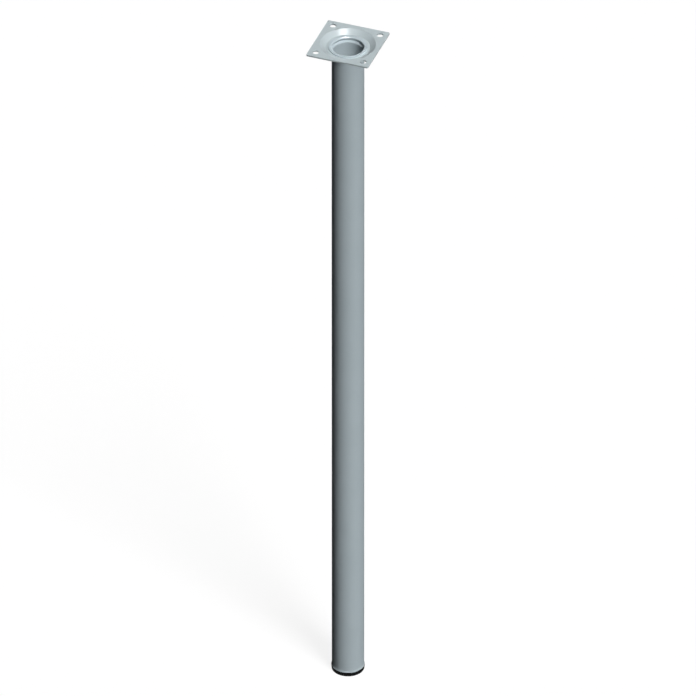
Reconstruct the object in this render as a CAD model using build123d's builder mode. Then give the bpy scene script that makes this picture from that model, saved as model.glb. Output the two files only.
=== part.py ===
"""Table leg: a round steel tube crimped into a pressed screw plate, with a plastic glide in its foot.

Millimetres. The origin is the centre of the plate's top face, which lies against the table top.
+Z points up at the table top, X and Y run along the plate's sides, and the floor is at -leg_length.
"""

import os
from math import sqrt

from build123d import *

# Whole leg
leg_length = 700.0  # table top to floor

# Steel tube
tube_diameter = 30.0
tube_wall = 1.25

# Crimp that holds the plate: a lip rolled over the dish floor and a bead folded out under it
throat_spread = 0.9  # how much the tube is widened where it passes through the plate
lip_reach = 2.0  # how far the lip lies over the dish floor
bead_reach = 2.0  # how far the bead stands out under the dish floor
bead_flat = 1.0  # straight part of the bead's rim, between its bevelled edges
crease_depth = 0.4  # crease that the bead leaves inside the tube

# Screw plate, pressed from sheet, with a dish that sinks the crimp below the table top
plate_sheet = 1.5
dish_depth = 4.1
dish_floor_room = 2.5  # flat floor between the lip and the dish wall
dish_wall_run = 5.2  # how far the sloping dish wall reaches outwards
plate_border = 4.4  # flat border between the dish and the middle of each side
plate_corner = 1.5  # rounding of the four corners, seen from above
plate_edge = 0.2  # bevel of the sheet's outer edge
screw_hole = 6.0
screw_inset = 7.0  # hole centre to the plate's sides

# Belled foot of the tube
bell_spread = 0.6
bell_height = 3.2
bell_bend = 1.5

# Floor glide
glide_flange_height = 3.7
glide_sole_bevel = 0.8
glide_sole = 3.0  # thickness of the glide's sole under the hollow plug
glide_plug_length = 24.0
glide_fit = 0.05  # radial room between the plug's ribs and the bore
glide_wall = 1.8
lead_in_length = 2.0  # slope at the upper end of each rib
lead_in_depth = 0.6
rib_count = 8
rib_width = 1.6
rib_depth = 0.8

# Tube and crimp, worked out from the sizes above
tube_radius = tube_diameter / 2
bore_radius = tube_radius - tube_wall
throat_radius = tube_radius + throat_spread
throat_bore = bore_radius + throat_spread
lip_radius = throat_radius + lip_reach
lip_top = tube_wall - dish_depth
floor_underside = -dish_depth - plate_sheet
bead_radius = throat_radius + bead_reach
bead_bevel = tube_wall - bead_flat / 2
bead_fold = floor_underside - tube_wall
bead_foot = bead_fold - tube_wall

# Screw plate
dish_floor_radius = lip_radius + dish_floor_room
dish_radius = dish_floor_radius + dish_wall_run
plate_side = 2 * (dish_radius + plate_border)
blank_radius = plate_side / sqrt(2)  # reaches the plate's corners
screw_pitch = plate_side - 2 * screw_inset

# Foot and glide
floor_level = -leg_length
tube_foot = floor_level + glide_flange_height
bell_top = tube_foot + bell_height
foot_radius = tube_radius + bell_spread
plug_radius = bore_radius - glide_fit
plug_core = plug_radius - rib_depth
plug_top = tube_foot + glide_plug_length
lead_in_start = plug_top - lead_in_length
cavity_radius = plug_core - glide_wall
cavity_floor = floor_level + glide_sole

# Screw plate: a dished round blank, trimmed square and punched
with BuildPart() as screw_plate:
    with BuildSketch(Plane.XZ) as blank_section:
        with BuildLine():
            # The bends are sharp inside and have the sheet's thickness as their outside radius
            FilletPolyline(
                (throat_radius, -dish_depth),
                (dish_floor_radius, -dish_depth),
                (dish_radius, 0),
                (blank_radius, 0),
                radius=[0, plate_sheet],
            )
            offset(amount=plate_sheet, side=Side.RIGHT)
        make_face()
    revolve(axis=Axis.Z)
    with BuildSketch(Plane.XY) as square_outline:
        RectangleRounded(plate_side, plate_side, plate_corner)
    extrude(amount=floor_underside, mode=Mode.INTERSECT)
    with GridLocations(screw_pitch, screw_pitch, 2, 2):
        Hole(screw_hole / 2)
    border_faces = screw_plate.faces().filter_by(Axis.Z).sort_by(SortBy.AREA)[-2:]
    outer_edges = [edge for face in border_faces for edge in face.outer_wire().edges()]
    chamfer(outer_edges, length=plate_edge)
screw_plate.part.label = "screw_plate"

# Leg tube: one revolved wall, from the rolled lip through the bead down to the belled foot
with BuildPart() as leg_tube:
    with BuildSketch(Plane.XZ) as tube_section:
        with BuildLine():
            # Radius from the axis, height, and rounding of each corner
            tube_corners = [
                (throat_bore, lip_top, tube_wall),
                (lip_radius, lip_top, 0),
                (lip_radius, -dish_depth, 0),
                (throat_radius, -dish_depth, 0),
                (throat_radius, floor_underside, 0),
                (bead_radius - bead_bevel, floor_underside, 0),
                (bead_radius, floor_underside - bead_bevel, 0),
                (bead_radius, bead_foot + bead_bevel, 0),
                (bead_radius - bead_bevel, bead_foot, 0),
                (tube_radius, bead_foot, 0),
                (tube_radius, bell_top, bell_bend),
                (foot_radius, tube_foot, 0),
                (foot_radius - tube_wall, tube_foot, 0),
                (bore_radius, bell_top, bell_bend),
                (bore_radius, bead_foot, 0),
                (throat_bore + crease_depth, bead_fold, 0),
                (throat_bore, floor_underside, 0),
            ]
            FilletPolyline(
                *[(radius, height) for radius, height, rounding in tube_corners],
                radius=[rounding for radius, height, rounding in tube_corners],
                close=True,
            )
        make_face()
    revolve(axis=Axis.Z)
leg_tube.part.label = "leg_tube"

# Floor glide: a flange under the tube's end and a hollow plug with crush ribs in its bore
with BuildPart() as floor_glide:
    with BuildSketch(Plane.XZ) as glide_section:
        with BuildLine():
            Polyline(
                (0, floor_level),
                (foot_radius, floor_level),
                (foot_radius, tube_foot),
                (plug_radius, tube_foot),
                (plug_radius, lead_in_start),
                (plug_radius - lead_in_depth, plug_top),
                (cavity_radius, plug_top),
                (cavity_radius, cavity_floor),
                (0, cavity_floor),
                close=True,
            )
        make_face()
    revolve(axis=Axis.Z)
    with BuildSketch(Plane.XY.offset(tube_foot)) as rib_gaps:
        Circle(bore_radius)
        Circle(plug_core, mode=Mode.SUBTRACT)
        with PolarLocations(plug_core, rib_count):
            Rectangle(2 * bore_radius - 2 * plug_core, rib_width, mode=Mode.SUBTRACT)
    extrude(amount=glide_plug_length, mode=Mode.SUBTRACT)
    sole_edge = floor_glide.edges().filter_by(GeomType.CIRCLE).group_by(Axis.Z)[0]
    chamfer(sole_edge, length=glide_sole_bevel)
floor_glide.part.label = "floor_glide"

os.makedirs("parts", exist_ok=True)
export_step(screw_plate.part, "parts/screw_plate.step")
export_step(leg_tube.part, "parts/leg_tube.step")
export_step(floor_glide.part, "parts/floor_glide.step")
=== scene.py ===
"""Dresses the table leg with finer pieces, their finishes, a pale floor, soft light and the camera.

Metres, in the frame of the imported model. The origin is the centre of the plate's top face, which lies
against the table top. +Z points up, X and Y run along the plate's sides, and the floor is under the glide.
"""

import logging
import math
from dataclasses import dataclass, replace
from enum import Enum
from typing import Callable, Sequence

import bmesh
import bpy
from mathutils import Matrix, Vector


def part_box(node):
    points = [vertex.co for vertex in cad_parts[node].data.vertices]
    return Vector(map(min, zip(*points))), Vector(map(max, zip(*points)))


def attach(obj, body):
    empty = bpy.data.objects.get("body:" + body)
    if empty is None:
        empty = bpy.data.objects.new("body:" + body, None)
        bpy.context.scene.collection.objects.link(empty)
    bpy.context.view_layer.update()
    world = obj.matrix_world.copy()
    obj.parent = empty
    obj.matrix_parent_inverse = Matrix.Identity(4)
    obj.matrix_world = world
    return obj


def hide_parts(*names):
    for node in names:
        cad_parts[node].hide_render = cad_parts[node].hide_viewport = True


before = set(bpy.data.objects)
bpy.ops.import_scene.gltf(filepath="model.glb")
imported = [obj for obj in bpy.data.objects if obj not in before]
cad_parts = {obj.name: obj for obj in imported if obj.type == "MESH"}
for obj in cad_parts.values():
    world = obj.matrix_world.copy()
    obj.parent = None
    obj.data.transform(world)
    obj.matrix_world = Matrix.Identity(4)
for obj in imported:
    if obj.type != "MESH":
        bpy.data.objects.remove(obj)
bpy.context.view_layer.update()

log = logging.getLogger("table_leg")

MM = 0.001
ROOT_BODY = "root"
PLACE_TOLERANCE = 0.01 * MM
FLOOR_GAP = 0.02 * MM  # keeps the floor just clear of the glide's sole
SMOOTH_ANGLE = math.radians(35)
WHITE = (1, 1, 1, 1)

Colour = tuple[float, float, float]
Corner = tuple[float, float, float]  # radius from the Z axis, height and rounding
Socket = bpy.types.NodeSocket


class Node(Enum):
    """The CAD nodes that the pieces stand for."""

    SCREW_PLATE = "screw_plate"
    LEG_TUBE = "leg_tube"
    FLOOR_GLIDE = "floor_glide"


class Slot(Enum):
    """The record's material slots."""

    SILVER_COAT = "silver_coat"
    GLIDE_PLASTIC = "glide_plastic"


class ShownRay(Enum):
    """Rays that see the white surroundings as they are."""

    CAMERA = "Is Camera Ray"
    GLOSSY = "Is Glossy Ray"
    TRANSMISSION = "Is Transmission Ray"


# Modelling steps that the pieces share


def start_piece(name: str) -> bpy.types.Object:
    """Adds a plane, shrinks it to one point at the origin and opens it for editing.

    Args:
        name: Name of the new piece.

    Returns:
        The new piece, in edit mode, with its one point selected.
    """
    bpy.ops.object.select_all(action="DESELECT")
    bpy.ops.mesh.primitive_plane_add(size=MM)
    piece = bpy.context.object
    piece.name = name
    piece.data.name = name
    bpy.ops.object.mode_set(mode="EDIT")
    bpy.ops.mesh.merge(type="CENTER")
    return piece


def select_points(piece: bpy.types.Object, wanted: Callable[[Vector], bool]) -> None:
    """Selects the points at wanted places, with the edges and faces between them.

    Args:
        piece: The piece in edit mode.
        wanted: Says for a place whether a point there is selected.
    """
    bpy.ops.mesh.select_mode(type="VERT")
    bpy.ops.mesh.select_all(action="DESELECT")
    mesh = bmesh.from_edit_mesh(piece.data)
    for point in mesh.verts:
        point.select_set(wanted(point.co))
    mesh.select_flush_mode()
    bmesh.update_edit_mesh(piece.data)


def on_ring(place: Vector, radius: float, height: float) -> bool:
    """Says whether a place lies on the ring of that radius and height round the Z axis."""
    off_radius = abs(math.hypot(place.x, place.y) - radius)
    return off_radius < PLACE_TOLERANCE and abs(place.z - height) < PLACE_TOLERANCE


def select_ring(piece: bpy.types.Object, radius: float, height: float) -> None:
    """Selects the ring of that radius and height round the Z axis, on a piece in edit mode."""
    select_points(piece, lambda place: on_ring(place, radius, height))


def rounding_width(before: Corner, corner: Corner, after: Corner) -> float:
    """Works out how far from a corner its rounding starts.

    Args:
        before: The corner before it, as radius, height and rounding.
        corner: The corner that is rounded.
        after: The corner after it.

    Returns:
        The distance along both sides at which an arc of the corner's rounding starts.
    """
    incoming = Vector(corner[:2]) - Vector(before[:2])
    outgoing = Vector(after[:2]) - Vector(corner[:2])
    return corner[2] * math.tan(incoming.angle(outgoing) / 2)


def spin_section(piece: bpy.types.Object, corners: Sequence[Corner], steps: int) -> None:
    """Draws a section through its corners from the piece's one point and spins it round the Z axis.

    Args:
        piece: A new piece, in edit mode, with one point at the origin.
        corners: Radius from the axis, height and rounding of each corner. A section that starts and ends on
            the axis stays open there, and any other is closed.
        steps: Faces round the axis.
    """
    places = [Vector((radius, 0, height)) for radius, height, _ in corners]
    if places[0].x > 0:
        places.append(places[0])
    bpy.ops.transform.translate(value=places[0])
    for before, place in zip(places, places[1:]):
        bpy.ops.mesh.extrude_vertices_move(TRANSFORM_OT_translate={"value": place - before})
    bpy.ops.mesh.select_all(action="SELECT")
    bpy.ops.mesh.remove_doubles(threshold=PLACE_TOLERANCE)
    bpy.ops.mesh.spin(steps=steps, angle=math.tau, center=(0, 0, 0), axis=(0, 0, 1))
    bpy.ops.mesh.select_all(action="SELECT")
    bpy.ops.mesh.remove_doubles(threshold=PLACE_TOLERANCE)
    bpy.ops.mesh.normals_make_consistent(inside=False)


def round_rings(piece: bpy.types.Object, corners: Sequence[Corner], segments: int) -> None:
    """Bevels the rings that a section's rounded corners have made.

    Args:
        piece: The spun piece, in edit mode.
        corners: The corners of its section, as radius, height and rounding.
        segments: Faces across each rounding.
    """
    for before, corner, after in zip([corners[-1], *corners], corners, [*corners[1:], corners[0]]):
        radius, height, rounding = corner
        if rounding > 0:
            select_ring(piece, radius, height)
            width = rounding_width(before, corner, after)
            bpy.ops.mesh.bevel(offset=width, segments=segments, clamp_overlap=True)


def activate(piece: bpy.types.Object) -> None:
    """Selects one piece alone and makes it the active one.

    Args:
        piece: The piece, in object mode.
    """
    bpy.ops.object.select_all(action="DESELECT")
    bpy.context.view_layer.objects.active = piece
    piece.select_set(True)


def apply_modifier(piece: bpy.types.Object, kind: str, **settings: float | str | bool) -> None:
    """Adds a modifier with its settings and applies it.

    Args:
        piece: The piece, in object mode.
        kind: Blender's name of the modifier's type.
        settings: Values of the modifier's own properties.
    """
    activate(piece)
    bpy.ops.object.modifier_add(type=kind)
    modifier = piece.modifiers[-1]
    for name, value in settings.items():
        setattr(modifier, name, value)
    bpy.ops.object.modifier_apply(modifier=modifier.name)


def finish_shading(piece: bpy.types.Object) -> None:
    """Shades a piece smooth except at its hard edges, and keeps its flats flat.

    Args:
        piece: The piece, in object mode.
    """
    activate(piece)
    bpy.ops.object.shade_smooth_by_angle(angle=SMOOTH_ANGLE)
    apply_modifier(piece, "WEIGHTED_NORMAL", keep_sharp=True)


def seat_piece(piece: bpy.types.Object, node: Node, material: bpy.types.Material) -> None:
    """Gives a piece its finish and the CAD node that it stands for.

    Args:
        piece: The finished piece.
        node: The CAD node that it replaces.
        material: The finish.
    """
    piece.data.materials.clear()
    piece.data.materials.append(material)
    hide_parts(node.value)
    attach(piece, ROOT_BODY)


# Finishes

# Finer layers of each noise, and the part of the cloud noise that is spread from 0 to 1
RIPPLE_DETAIL = 2
GRAIN_DETAIL = 3
CLOUD_DETAIL = 4
CLOUD_LOW = 0.3
CLOUD_HIGH = 0.7

# Places of the colour sockets on a Mix node, which has sockets of the same names for other data
MIX_LOW_INPUT = 6
MIX_HIGH_INPUT = 7
MIX_OUTPUT = 2


class NodeBench:
    """Places nodes in a node tree and joins them."""

    def __init__(self, tree: bpy.types.NodeTree) -> None:
        """Takes the tree that the nodes go into and empties it."""
        self.tree = tree
        tree.nodes.clear()

    def add(self, kind: str, **values: object) -> bpy.types.Node:
        """Adds a node and sets its properties.

        Args:
            kind: Blender's name of the node's type.
            values: Values of the node's own properties.

        Returns:
            The new node.
        """
        node = self.tree.nodes.new(kind)
        for name, value in values.items():
            setattr(node, name, value)
        return node

    def join(self, source: Socket, target: Socket) -> None:
        """Links an output to an input."""
        self.tree.links.new(source, target)

    def feed(self, target: Socket, value: float | Socket) -> None:
        """Sets an input to a number, or links an output to it.

        Args:
            target: The input.
            value: The number or the output.
        """
        if isinstance(value, Socket):
            self.join(value, target)
        else:
            target.default_value = value

    def group(self, tree: bpy.types.NodeTree, vector: Socket, values: dict[str, object]) -> bpy.types.Node:
        """Adds a shared node group with its own values.

        Args:
            tree: The group.
            vector: Where its patterns are read.
            values: The value of each of its other inputs.

        Returns:
            The group's node.
        """
        node = self.add("ShaderNodeGroup", node_tree=tree)
        self.join(vector, node.inputs["Vector"])
        for name, value in values.items():
            node.inputs[name].default_value = value
        return node

    def noise(self, vector: Socket, scale: Socket, detail: float) -> Socket:
        """Adds a noise.

        Args:
            vector: Where the noise is read.
            scale: Its scale, per metre.
            detail: How many finer layers it has.

        Returns:
            The noise's value.
        """
        node = self.add("ShaderNodeTexNoise")
        self.join(vector, node.inputs["Vector"])
        self.join(scale, node.inputs["Scale"])
        node.inputs["Detail"].default_value = detail
        return node.outputs["Fac"]

    def math(
        self, operation: str, first: float | Socket, second: float | Socket, clamp: bool = False
    ) -> Socket:
        """Adds a calculation with two values.

        Args:
            operation: Blender's name of the operation.
            first: The first value, as a number or a socket.
            second: The second value.
            clamp: Keeps the result between 0 and 1.

        Returns:
            The result.
        """
        node = self.add("ShaderNodeMath", operation=operation, use_clamp=clamp)
        for target, value in zip(node.inputs, (first, second)):
            self.feed(target, value)
        return node.outputs["Value"]

    def mix_shaders(self, share: float | Socket, first: Socket, second: Socket) -> Socket:
        """Adds a mix of two shaders.

        Args:
            share: The second shader's share, as a number or a socket.
            first: The first shader.
            second: The second shader.

        Returns:
            The mixed shader.
        """
        node = self.add("ShaderNodeMixShader")
        share_input, first_input, second_input = node.inputs
        self.feed(share_input, share)
        self.join(first, first_input)
        self.join(second, second_input)
        return node.outputs["Shader"]

    def spread(self, value: Socket, low: float, high: float, to_low: float, to_high: float) -> Socket:
        """Maps a value from one range to another, and holds it at the ends.

        Args:
            value: The value.
            low: Start of its range.
            high: End of its range.
            to_low: Result at the start.
            to_high: Result at the end.

        Returns:
            The mapped value.
        """
        node = self.add("ShaderNodeMapRange", clamp=True, interpolation_type="SMOOTHSTEP")
        self.join(value, node.inputs["Value"])
        ends = {"From Min": low, "From Max": high, "To Min": to_low, "To Max": to_high}
        for name, end in ends.items():
            node.inputs[name].default_value = end
        return node.outputs["Result"]

    def radius(self, place: Socket) -> Socket:
        """Adds the distance of a place from the Z axis.

        Args:
            place: The place.

        Returns:
            The distance.
        """
        without_height = (1, 1, 0)
        level = self.add("ShaderNodeVectorMath", operation="MULTIPLY")
        self.join(place, level.inputs[0])
        level.inputs[1].default_value = without_height
        length = self.add("ShaderNodeVectorMath", operation="LENGTH")
        self.join(level.outputs["Vector"], length.inputs[0])
        return length.outputs["Value"]


def group_tree(name: str, inputs: dict[str, str], outputs: dict[str, str]) -> bpy.types.NodeTree:
    """Makes an empty shader node group with its sockets.

    Args:
        name: The group's name.
        inputs: Blender's socket type for each named input.
        outputs: Blender's socket type for each named output.

    Returns:
        The group.
    """
    tree = bpy.data.node_groups.new(name, "ShaderNodeTree")
    for socket_name, kind in inputs.items():
        tree.interface.new_socket(name=socket_name, in_out="INPUT", socket_type=kind)
    for socket_name, kind in outputs.items():
        tree.interface.new_socket(name=socket_name, in_out="OUTPUT", socket_type=kind)
    return tree


def surface_grain_group() -> bpy.types.NodeTree:
    """Builds the group for the fine relief of a coat or a moulded skin.

    Returns:
        A group that puts out a height from a coarse ripple and a fine grain.
    """
    tree = group_tree(
        "surface_grain",
        {
            "Vector": "NodeSocketVector",
            "Ripple Scale": "NodeSocketFloat",
            "Grain Scale": "NodeSocketFloat",
            "Grain Share": "NodeSocketFloat",
        },
        {"Height": "NodeSocketFloat"},
    )
    bench = NodeBench(tree)
    given = bench.add("NodeGroupInput")
    result = bench.add("NodeGroupOutput")
    ripple = bench.noise(given.outputs["Vector"], given.outputs["Ripple Scale"], RIPPLE_DETAIL)
    grain = bench.noise(given.outputs["Vector"], given.outputs["Grain Scale"], GRAIN_DETAIL)
    fine = bench.math("MULTIPLY", grain, given.outputs["Grain Share"])
    bench.join(bench.math("ADD", ripple, fine), result.inputs["Height"])
    return tree


def tone_drift_group() -> bpy.types.NodeTree:
    """Builds the group for the slow and the fine change of tone over a surface.

    Returns:
        A group that puts out a colour between a low and a high one, and the mask that mixes them.
    """
    tree = group_tree(
        "tone_drift",
        {
            "Vector": "NodeSocketVector",
            "Cloud Scale": "NodeSocketFloat",
            "Speck Scale": "NodeSocketFloat",
            "Speck Share": "NodeSocketFloat",
            "Low": "NodeSocketColor",
            "High": "NodeSocketColor",
        },
        {"Colour": "NodeSocketColor", "Mask": "NodeSocketFloat"},
    )
    bench = NodeBench(tree)
    given = bench.add("NodeGroupInput")
    result = bench.add("NodeGroupOutput")
    cloud = bench.noise(given.outputs["Vector"], given.outputs["Cloud Scale"], CLOUD_DETAIL)
    cells = bench.add("ShaderNodeTexVoronoi")
    bench.join(given.outputs["Vector"], cells.inputs["Vector"])
    bench.join(given.outputs["Speck Scale"], cells.inputs["Scale"])
    cell_value = bench.add("ShaderNodeSeparateColor")
    bench.join(cells.outputs["Color"], cell_value.inputs["Color"])
    speck = bench.math("MULTIPLY", cell_value.outputs["Red"], given.outputs["Speck Share"])
    even = bench.math("SUBTRACT", 1, given.outputs["Speck Share"])
    slow = bench.math("MULTIPLY", bench.spread(cloud, CLOUD_LOW, CLOUD_HIGH, 0, 1), even)
    mask = bench.math("ADD", slow, speck, clamp=True)
    mix = bench.add("ShaderNodeMix", data_type="RGBA")
    bench.join(mask, mix.inputs["Factor"])
    bench.join(given.outputs["Low"], mix.inputs[MIX_LOW_INPUT])
    bench.join(given.outputs["High"], mix.inputs[MIX_HIGH_INPUT])
    bench.join(mix.outputs[MIX_OUTPUT], result.inputs["Colour"])
    bench.join(mask, result.inputs["Mask"])
    return tree


@dataclass(frozen=True)
class Effects:
    """The node groups that the finishes share."""

    grain: bpy.types.NodeTree
    tone: bpy.types.NodeTree


@dataclass(frozen=True)
class Burnish:
    """The shine that rolling leaves inside a lip, above a height and within a radius of the Z axis."""

    height: float
    radius: float
    fade: float
    rough: float

    def mask(self, bench: NodeBench, place: Socket) -> Socket:
        """Adds the nodes that find the burnished band.

        Args:
            bench: The material's tree.
            place: The place on the piece.

        Returns:
            1 in the band and 0 elsewhere.
        """
        axes = bench.add("ShaderNodeSeparateXYZ")
        bench.join(place, axes.inputs["Vector"])
        above = bench.spread(axes.outputs["Z"], self.height - self.fade, self.height, 0, 1)
        within = bench.spread(bench.radius(place), self.radius, self.radius + self.fade, 1, 0)
        return bench.math("MULTIPLY", above, within)


@dataclass(frozen=True)
class PaintedBoreShade:
    """Painted shade inside the tube: the coat's colour is darkened within a radius of the Z axis."""

    radius: float
    fade: float
    share: float

    def tone(self, bench: NodeBench, place: Socket, colour: Socket) -> Socket:
        """Adds the nodes that darken a colour inside the tube as painted shade.

        Args:
            bench: The material's tree.
            place: The place on the piece.
            colour: The coat's colour, without the painted shade.

        Returns:
            The colour, with the painted shade inside.
        """
        left = bench.spread(bench.radius(place), self.radius, self.radius + self.fade, self.share, 1)
        painted_shade = bench.add("ShaderNodeVectorMath", operation="SCALE")
        bench.join(colour, painted_shade.inputs["Vector"])
        bench.join(left, painted_shade.inputs["Scale"])
        return painted_shade.outputs["Vector"]


@dataclass(frozen=True)
class SkinFinish:
    """A finish with a toned colour, a roughness that follows the tone and a fine relief.

    Colours are linear, scales are per metre and relief is in metres.
    """

    name: str
    low: Colour
    high: Colour
    cloud_scale: float
    speck_scale: float
    speck_share: float
    smooth: float
    rough: float
    ripple_scale: float
    grain_scale: float
    grain_share: float
    relief: float
    specular: float
    burnish: Burnish | None = None
    # painted shade: the coat's colour darkened inside the tube's bore
    inside: PaintedBoreShade | None = None

    def material(self, effects: Effects) -> bpy.types.Material:
        """Builds the finish as a material.

        Args:
            effects: The shared node groups.

        Returns:
            The material.
        """
        material = bpy.data.materials.new(self.name)
        material.use_nodes = True
        bench = NodeBench(material.node_tree)
        place = bench.add("ShaderNodeTexCoord").outputs["Object"]
        tone_values = {
            "Cloud Scale": self.cloud_scale,
            "Speck Scale": self.speck_scale,
            "Speck Share": self.speck_share,
            "Low": (*self.low, 1),
            "High": (*self.high, 1),
        }
        tone = bench.group(effects.tone, place, tone_values)
        grain_values = {
            "Ripple Scale": self.ripple_scale,
            "Grain Scale": self.grain_scale,
            "Grain Share": self.grain_share,
        }
        grain = bench.group(effects.grain, place, grain_values)
        bump = bench.add("ShaderNodeBump")
        bump.inputs["Strength"].default_value = 1.0
        bump.inputs["Distance"].default_value = self.relief
        bench.join(grain.outputs["Height"], bump.inputs["Height"])
        shader = bench.add("ShaderNodeBsdfPrincipled")
        shader.inputs["Specular IOR Level"].default_value = self.specular
        colour = tone.outputs["Colour"]
        # Darkens the colour inside the bore as painted shade
        if self.inside:
            colour = self.inside.tone(bench, place, colour)
        bench.join(colour, shader.inputs["Base Color"])
        roughness = bench.spread(tone.outputs["Mask"], 0, 1, self.smooth, self.rough)
        bench.join(roughness, shader.inputs["Roughness"])
        bench.join(bump.outputs["Normal"], shader.inputs["Normal"])
        if self.burnish:
            bench.join(self.burnish.mask(bench, place), shader.inputs["Coat Weight"])
            shader.inputs["Coat Roughness"].default_value = self.burnish.rough
        output = bench.add("ShaderNodeOutputMaterial")
        bench.join(shader.outputs["BSDF"], output.inputs["Surface"])
        return material


SILVER_COAT = SkinFinish(
    name="silver_powder_coat",
    low=(0.415, 0.475, 0.495),
    high=(0.445, 0.505, 0.525),
    cloud_scale=35.0,
    speck_scale=4200.0,
    speck_share=0.55,
    smooth=0.3,
    rough=0.38,
    ripple_scale=850.0,
    grain_scale=4000.0,
    grain_share=0.35,
    relief=0.02 * MM,
    specular=0.1,
)

TUBE_COAT = replace(
    SILVER_COAT,
    name="burnished_powder_coat",
    low=(0.42, 0.49, 0.523),
    high=(0.45, 0.521, 0.555),
    smooth=0.7,
    rough=0.78,
    specular=0.03,
    burnish=Burnish(height=-4.2 * MM, radius=15.7 * MM, fade=0.4 * MM, rough=0.3),
    # Painted shade: the colour inside the bore is darkened to 0.88 of the coat's
    inside=PaintedBoreShade(radius=14.0 * MM, fade=0.3 * MM, share=0.88),
)

GLIDE_PLASTIC = SkinFinish(
    name="black_moulded_plastic",
    low=(0.004, 0.0042, 0.0044),
    high=(0.008, 0.0084, 0.0088),
    cloud_scale=120.0,
    speck_scale=2500.0,
    speck_share=0.4,
    smooth=0.5,
    rough=0.62,
    ripple_scale=500.0,
    grain_scale=3000.0,
    grain_share=0.8,
    relief=0.03 * MM,
    specular=0.03,
)


# Pieces


@dataclass
class ScrewPlate:
    """The square pressed plate: one sheet with a dish, a throat and four screw holes."""

    side: float
    sheet: float = 1.5 * MM
    dish_depth: float = 4.1 * MM
    dish_radius: float = 25.6 * MM
    dish_floor_radius: float = 20.4 * MM
    throat_radius: float = 15.9 * MM
    rim_bend: float = 1.5 * MM
    floor_bend: float = 0.2 * MM
    corner: float = 1.5 * MM
    hole_radius: float = 3.0 * MM
    hole_inset: float = 7.0 * MM
    edge: float = 0.2 * MM
    edge_segments: int = 3
    edge_angle: float = math.radians(60)
    round_steps: int = 144
    hole_steps: int = 48
    segments: int = 8

    @classmethod
    def from_frame(cls) -> "ScrewPlate":
        """Takes the plate's side from the CAD node's box."""
        low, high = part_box(Node.SCREW_PLATE.value)
        return cls(side=high.x - low.x)

    @property
    def rim_radius(self) -> float:
        """Radius at which the flat border starts, outside the rim's bend."""
        return self.dish_radius + self.rim_bend

    def draw_dish(self, piece: bpy.types.Object) -> None:
        """Draws the rim as a ring, extrudes it down the dish to the throat and rounds both bends.

        Args:
            piece: The new piece, in edit mode.
        """
        bpy.ops.mesh.primitive_circle_add(vertices=self.round_steps, radius=self.rim_radius)
        rings = [
            (self.dish_radius, 0.0),
            (self.dish_floor_radius, -self.dish_depth),
            (self.throat_radius, -self.dish_depth),
        ]
        radius, height = self.rim_radius, 0.0
        for next_radius, next_height in rings:
            bpy.ops.mesh.extrude_edges_move()
            share = next_radius / radius
            bpy.ops.transform.resize(value=(share, share, 1), center_override=(0, 0, height))
            bpy.ops.transform.translate(value=(0, 0, next_height - height))
            radius, height = next_radius, next_height
        corners = [
            (self.rim_radius, 0.0, 0.0),
            (self.dish_radius, 0.0, self.rim_bend),
            (self.dish_floor_radius, -self.dish_depth, self.floor_bend),
            (self.throat_radius, -self.dish_depth, 0.0),
        ]
        round_rings(piece, corners, self.segments)

    def draw_border(self, piece: bpy.types.Object) -> None:
        """Draws the outline and the screw holes, and fills the flat border between them and the rim.

        Args:
            piece: The piece with its dish, in edit mode.
        """
        bpy.ops.mesh.select_all(action="DESELECT")
        bpy.ops.mesh.primitive_plane_add(size=self.side)
        bpy.ops.mesh.select_mode(type="VERT")
        bpy.ops.mesh.bevel(offset=self.corner, segments=self.segments, affect="VERTICES")
        half_side = self.side / 2
        select_points(piece, lambda place: max(abs(place.x), abs(place.y)) > half_side - self.corner)
        bpy.ops.mesh.delete(type="ONLY_FACE")
        reach = half_side - self.hole_inset
        for x in (-reach, reach):
            for y in (-reach, reach):
                bpy.ops.mesh.primitive_circle_add(
                    vertices=self.hole_steps, radius=self.hole_radius, location=(x, y, 0)
                )
        rim = self.rim_radius - PLACE_TOLERANCE
        select_points(piece, lambda place: abs(place.z) < PLACE_TOLERANCE and place.length > rim)
        bpy.ops.mesh.fill(use_beauty=True)

    def build(self) -> bpy.types.Object:
        """Models the sheet's upper face, gives it its thickness and rounds its cut edges.

        Returns:
            The plate.
        """
        piece = start_piece("pressed_plate")
        bpy.ops.mesh.delete(type="VERT")
        self.draw_dish(piece)
        self.draw_border(piece)
        bpy.ops.mesh.select_all(action="SELECT")
        bpy.ops.mesh.normals_make_consistent(inside=False)
        bpy.ops.object.mode_set(mode="OBJECT")
        apply_modifier(piece, "SOLIDIFY", thickness=self.sheet, offset=-1.0, use_even_offset=True)
        apply_modifier(
            piece,
            "BEVEL",
            width=self.edge,
            segments=self.edge_segments,
            limit_method="ANGLE",
            angle_limit=self.edge_angle,
        )
        finish_shading(piece)
        return piece

    def dress(self, piece: bpy.types.Object, coat: bpy.types.Material) -> None:
        """Coats the plate and seats it."""
        seat_piece(piece, Node.SCREW_PLATE, coat)


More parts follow.
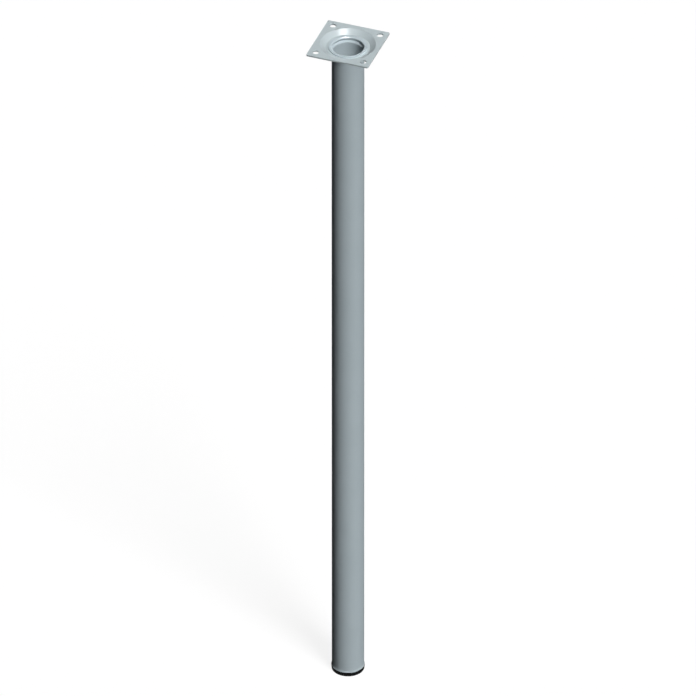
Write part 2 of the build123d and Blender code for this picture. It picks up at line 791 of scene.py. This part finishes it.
@dataclass
class LegTube:
    """The steel tube with the lip rolled over the dish floor, the bead under it and the belled foot."""

    lip_radius: float
    lip_top: float
    foot: float
    radius: float = 15.0 * MM
    wall: float = 1.25 * MM
    throat_spread: float = 0.9 * MM
    sheet: float = 1.5 * MM
    lip_round: float = 0.2 * MM
    bead_reach: float = 2.0 * MM
    bead_round: float = 1.1 * MM
    throat_height: float = 0.6 * MM
    crease_depth: float = 0.5 * MM
    fold_round: float = 0.25 * MM
    bell_spread: float = 0.6 * MM
    bell_height: float = 1.9 * MM
    bell_bend: float = 8.0 * MM
    foot_round: float = 0.3 * MM
    round_steps: int = 144
    segments: int = 8

    @classmethod
    def from_frame(cls, foot: float) -> "LegTube":
        """Takes the lip's reach and the upper end from the CAD node's box.

        Args:
            foot: Height of the lower end, which stands on the glide's flange.

        Returns:
            The tube.
        """
        _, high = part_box(Node.LEG_TUBE.value)
        return cls(lip_radius=high.x, lip_top=high.z, foot=foot)

    def section(self) -> list[Corner]:
        """Works out the section of the tube's wall.

        Returns:
            Radius from the axis, height and rounding of each corner.
        """
        bore = self.radius - self.wall
        throat = self.radius + self.throat_spread
        throat_bore = bore + self.throat_spread
        dish_floor = self.lip_top - self.wall
        underside = dish_floor - self.sheet
        bead_foot = underside - 2 * self.wall
        throat_end = dish_floor - self.throat_height
        bead = throat + self.bead_reach
        bell_top = self.foot + self.bell_height
        foot_radius = self.radius + self.bell_spread
        return [
            (throat_bore, self.lip_top, self.wall),
            (self.lip_radius, self.lip_top, self.lip_round),
            (self.lip_radius, dish_floor, 0),
            (throat, dish_floor, 0),
            (throat, underside, 0),
            (bead, underside, self.bead_round),
            (bead, bead_foot, self.bead_round),
            (self.radius, bead_foot, self.fold_round),
            (self.radius, bell_top, self.bell_bend),
            (foot_radius, self.foot, self.foot_round),
            (foot_radius - self.wall, self.foot, 0),
            (bore, bell_top, self.bell_bend),
            (bore, bead_foot, self.fold_round),
            (throat_bore + self.crease_depth, underside - self.crease_depth, self.fold_round),
            (throat_bore, throat_end, self.fold_round),
        ]

    def build(self) -> bpy.types.Object:
        """Spins the section of the wall and rounds its rings.

        Returns:
            The tube.
        """
        piece = start_piece("crimped_tube")
        spin_section(piece, self.section(), self.round_steps)
        round_rings(piece, self.section(), self.segments)
        bpy.ops.object.mode_set(mode="OBJECT")
        finish_shading(piece)
        return piece

    def dress(self, piece: bpy.types.Object, coat: bpy.types.Material) -> None:
        """Coats the tube and seats it."""
        seat_piece(piece, Node.LEG_TUBE, coat)


@dataclass
class FloorGlide:
    """The black glide: a flange under the tube's end and a hollow plug with crush ribs."""

    radius: float
    floor: float
    plug_top: float
    flange_height: float = 4.2 * MM
    taper: float = 0.4 * MM
    sole_round: float = 0.4 * MM
    edge_round: float = 0.25 * MM
    sole: float = 3.0 * MM
    rib_crest: float = 13.7 * MM
    rib_depth: float = 0.8 * MM
    rib_count: int = 8
    rib_faces: int = 2
    lead_in_length: float = 2.0 * MM
    lead_in_depth: float = 0.6 * MM
    wall: float = 1.8 * MM
    faces_per_rib: int = 12
    segments: int = 6

    @classmethod
    def from_frame(cls) -> "FloorGlide":
        """Takes the flange's radius and both ends from the CAD node's box."""
        low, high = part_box(Node.FLOOR_GLIDE.value)
        return cls(radius=high.x, floor=low.z, plug_top=high.z)

    @property
    def core(self) -> float:
        """Radius of the plug between its ribs."""
        return self.rib_crest - self.rib_depth

    @property
    def flange_top(self) -> float:
        """Height of the flange's upper face, which carries the tube."""
        return self.floor + self.flange_height

    def section(self) -> list[Corner]:
        """Works out the section of the glide without its ribs.

        Returns:
            Radius from the axis, height and rounding of each corner.
        """
        cavity = self.core - self.wall
        cavity_floor = self.floor + self.sole
        return [
            (0, self.floor, 0),
            (self.radius - self.taper, self.floor, self.sole_round),
            (self.radius, self.flange_top, self.edge_round),
            (self.core, self.flange_top, 0),
            (self.core, self.plug_top, 0),
            (cavity, self.plug_top, 0),
            (cavity, cavity_floor, self.edge_round),
            (0, cavity_floor, 0),
        ]

    def on_rib_end(self, place: Vector) -> bool:
        """Says whether a place lies on the crest of a rib's upper end."""
        at_top = abs(place.z - self.plug_top) < PLACE_TOLERANCE
        return at_top and place.xy.length > self.core + PLACE_TOLERANCE

    def raise_ribs(self, piece: bpy.types.Object) -> None:
        """Extrudes the crush ribs from the plug and slopes their upper ends.

        Args:
            piece: The spun glide, in edit mode.
        """
        slope_start = self.plug_top - self.lead_in_length
        bpy.ops.mesh.select_all(action="SELECT")
        bpy.ops.mesh.bisect(plane_co=(0, 0, slope_start), plane_no=(0, 0, 1))
        bpy.ops.mesh.select_mode(type="FACE")
        bpy.ops.mesh.select_all(action="DESELECT")
        mesh = bmesh.from_edit_mesh(piece.data)
        rib_turn = math.tau / self.rib_count
        half_rib = rib_turn * self.rib_faces / self.faces_per_rib / 2
        for face in mesh.faces:
            on_plug = all(abs(point.co.xy.length - self.core) < PLACE_TOLERANCE for point in face.verts)
            middle = face.calc_center_median()
            turn = math.atan2(middle.y, middle.x) % rib_turn
            off_rib = min(turn, rib_turn - turn)
            face.select_set(on_plug and off_rib < half_rib)
        bmesh.update_edit_mesh(piece.data)
        crest = self.rib_crest / self.core
        bpy.ops.mesh.extrude_region_move()
        bpy.ops.transform.resize(value=(crest, crest, 1), center_override=(0, 0, 0))
        select_points(piece, self.on_rib_end)
        tip = 1 - self.lead_in_depth / self.rib_crest
        bpy.ops.transform.resize(value=(tip, tip, 1), center_override=(0, 0, 0))

    def build(self) -> bpy.types.Object:
        """Spins the section, rounds its rings and raises the ribs.

        Returns:
            The glide.
        """
        piece = start_piece("floor_plug")
        spin_section(piece, self.section(), self.rib_count * self.faces_per_rib)
        round_rings(piece, self.section(), self.segments)
        self.raise_ribs(piece)
        bpy.ops.object.mode_set(mode="OBJECT")
        finish_shading(piece)
        return piece

    def dress(self, piece: bpy.types.Object, plastic: bpy.types.Material) -> None:
        """Gives the glide its plastic and seats it."""
        seat_piece(piece, Node.FLOOR_GLIDE, plastic)


# Surroundings


def shown_ray(bench: NodeBench) -> Socket:
    """Adds the test for rays that see the surroundings as they are.

    Args:
        bench: The tree that the test goes into.

    Returns:
        1 for such rays and 0 for the others.
    """
    path = bench.add("ShaderNodeLightPath")
    shown = bench.math("MAXIMUM", path.outputs[ShownRay.CAMERA.value], path.outputs[ShownRay.GLOSSY.value])
    return bench.math("MAXIMUM", shown, path.outputs[ShownRay.TRANSMISSION.value])


def direction(azimuth: float, elevation: float) -> Vector:
    """Works out the direction from the object towards a place.

    Args:
        azimuth: Degrees round the Z axis. At 0 the place lies along -Y, at 90 along +X.
        elevation: Degrees above the horizon.

    Returns:
        A direction of length 1.
    """
    turn, rise = math.radians(azimuth), math.radians(elevation)
    return Vector((math.sin(turn) * math.cos(rise), -math.cos(turn) * math.cos(rise), math.sin(rise)))


@dataclass(frozen=True)
class SoftSun:
    """A distant soft light. Angles are in degrees and the strength is in watts per square metre."""

    name: str
    azimuth: float
    elevation: float
    angle: float
    strength: float

    def hang(self) -> bpy.types.Object:
        """Hangs the light.

        Returns:
            The light.
        """
        bpy.ops.object.light_add(type="SUN")
        lamp = bpy.context.object
        lamp.name = self.name
        lamp.data.angle = math.radians(self.angle)
        lamp.data.energy = self.strength
        lamp.rotation_euler = direction(self.azimuth, self.elevation).to_track_quat("Z", "Y").to_euler()
        return lamp


KEY_ELEVATION = 53.0
KEY = SoftSun(
    name="soft_key",
    azimuth=52.8,
    elevation=KEY_ELEVATION,
    angle=18.0,
    strength=math.pi / math.sin(math.radians(KEY_ELEVATION)),  # renders a level white face as white
)
GLINT = SoftSun(name="glint", azimuth=45.0, elevation=58.0, angle=22.0, strength=25.0)
BACK_FILL = SoftSun(name="back_fill", azimuth=199.8, elevation=0.0, angle=4.0, strength=3.0)


@dataclass
class Studio:
    """The pale floor, the white surroundings and three soft lights."""

    floor_height: float
    floor_size: float = 80.0
    floor_bounce: Colour = (0.03, 0.03, 0.03)
    shadow_share: float = 0.12
    ambient: float = 0.02

    def build_floor(self) -> None:
        """Lays a floor that looks white, with a faint shadow and little bounce, and is clear from below."""
        bpy.ops.object.select_all(action="DESELECT")
        bpy.ops.mesh.primitive_plane_add(size=self.floor_size, location=(0, 0, self.floor_height))
        floor = bpy.context.object
        floor.name = "pale_floor"
        material = bpy.data.materials.new("pale_floor")
        material.use_nodes = True
        bench = NodeBench(material.node_tree)
        glow = bench.add("ShaderNodeEmission")
        lit = bench.add("ShaderNodeBsdfDiffuse")
        lit.inputs["Color"].default_value = WHITE
        seen = bench.mix_shaders(self.shadow_share, glow.outputs["Emission"], lit.outputs["BSDF"])
        bounce = bench.add("ShaderNodeBsdfDiffuse")
        bounce.inputs["Color"].default_value = (*self.floor_bounce, 1)
        upper = bench.mix_shaders(shown_ray(bench), bounce.outputs["BSDF"], seen)
        clear = bench.add("ShaderNodeBsdfTransparent")
        underside = bench.add("ShaderNodeNewGeometry").outputs["Backfacing"]
        both = bench.mix_shaders(underside, upper, clear.outputs["BSDF"])
        output = bench.add("ShaderNodeOutputMaterial")
        bench.join(both, output.inputs["Surface"])
        floor.data.materials.append(material)

    def build_world(self) -> None:
        """Makes the surroundings white to the eye and dim as a light."""
        world = bpy.data.worlds.new("white_surroundings")
        bpy.context.scene.world = world
        world.use_nodes = True
        bench = NodeBench(world.node_tree)
        dim = bench.add("ShaderNodeBackground")
        dim.inputs["Color"].default_value = WHITE
        dim.inputs["Strength"].default_value = self.ambient
        white = bench.add("ShaderNodeBackground")
        white.inputs["Color"].default_value = WHITE
        white.inputs["Strength"].default_value = 1
        both = bench.mix_shaders(shown_ray(bench), dim.outputs["Background"], white.outputs["Background"])
        output = bench.add("ShaderNodeOutputWorld")
        bench.join(both, output.inputs["Surface"])

    def build_lights(self, blockers: Sequence[bpy.types.Object]) -> None:
        """Hangs the key light, a light that only shows as a highlight and one that only fills the back.

        Args:
            blockers: The objects that cast a shadow in the key light.
        """
        shadow_casters = bpy.data.collections.new("shadow_casters")
        for blocker in blockers:
            shadow_casters.objects.link(blocker)
        KEY.hang().light_linking.blocker_collection = shadow_casters
        GLINT.hang().visible_diffuse = False
        BACK_FILL.hang().visible_glossy = False

    def build(self, blockers: Sequence[bpy.types.Object]) -> None:
        """Builds the floor, the surroundings and the lights.

        Args:
            blockers: The objects that cast a shadow in the key light.
        """
        self.build_floor()
        self.build_world()
        self.build_lights(blockers)


@dataclass
class PhotoCamera:
    """The camera far off with a long lens, so that the view is all but parallel."""

    azimuth: float = 19.8
    elevation: float = 34.9
    lens_mm: float = 1600.0
    sensor_mm: float = 36.0
    frame_side: float = 640.8 * MM
    aim_depth: float = 339.3 * MM

    def build(self) -> None:
        """Places the camera and makes it the scene's own."""
        back = direction(self.azimuth, self.elevation)
        distance = self.frame_side * self.lens_mm / self.sensor_mm
        bpy.ops.object.camera_add(location=Vector((0, 0, -self.aim_depth)) + back * distance)
        camera = bpy.context.object
        camera.name = "photo_camera"
        camera.rotation_euler = back.to_track_quat("Z", "Y").to_euler()
        camera.data.lens = self.lens_mm
        camera.data.sensor_width = self.sensor_mm
        camera.data.clip_end = 2 * distance
        bpy.context.scene.camera = camera


def main() -> None:
    """Builds the pieces, the finishes and the surroundings in order."""
    logging.basicConfig(level=logging.INFO, format="%(message)s")
    bpy.context.scene.view_settings.view_transform = "Standard"
    effects = Effects(grain=surface_grain_group(), tone=tone_drift_group())
    glide = FloorGlide.from_frame()
    finishes = (
        (ScrewPlate.from_frame(), SILVER_COAT.material(effects)),
        (LegTube.from_frame(foot=glide.flange_top), TUBE_COAT.material(effects)),
        (glide, GLIDE_PLASTIC.material(effects)),
    )
    pieces = []
    for part, finish in finishes:
        piece = part.build()
        part.dress(piece, finish)
        pieces.append(piece)
        log.info("%s: %d faces, %s", piece.name, len(piece.data.polygons), finish.name)
    # The plate stays out of the blockers, so that it doesn't shade the tube in the key light
    Studio(floor_height=glide.floor - FLOOR_GAP).build(blockers=pieces[1:])
    PhotoCamera().build()


if __name__ == "__main__":
    main()
